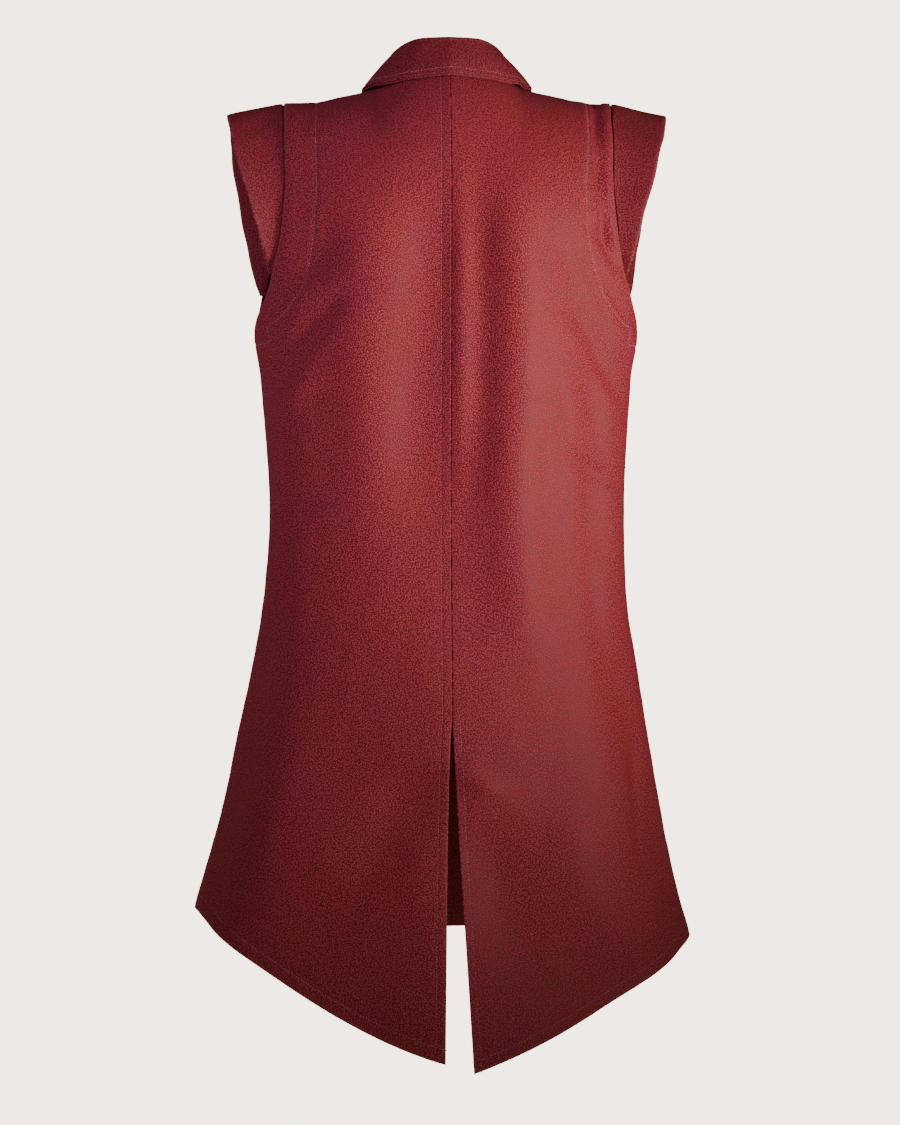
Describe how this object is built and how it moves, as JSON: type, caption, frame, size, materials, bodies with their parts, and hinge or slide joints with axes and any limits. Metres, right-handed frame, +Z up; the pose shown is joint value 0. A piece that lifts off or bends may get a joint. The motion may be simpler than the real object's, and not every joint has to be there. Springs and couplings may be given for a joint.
{
  "type": "waistcoat",
  "caption": "Long sleeveless canvas waistcoat with turned-down collar, stiff shoulder wings, flared skirt and a centre back vent, in its worn shape.",
  "frame": {"origin": "middle of the neck, level with the two points where neckline and shoulder seam meet, where the wearer's shoulders carry it", "axes": "+Z up, the wearer faces -Y, +X is the wearer's left"},
  "size_m": [0.5232, 0.3356, 1.0595],
  "materials": {
    "canvas": "heavy cotton canvas, dark red, softly brushed twill face, tone-on-tone thread",
    "canvas_under": "the same cotton canvas on the underside of the collar, a little deeper in tone"
  },
  "bodies": {
    "root": {"back_left": "canvas", "back_right": "canvas", "front_left": "canvas", "front_right": "canvas", "shoulder_wing_left": "canvas", "shoulder_wing_right": "canvas", "collar_upper": "canvas", "collar_under": "canvas_under"}
  },
  "joints": []
}
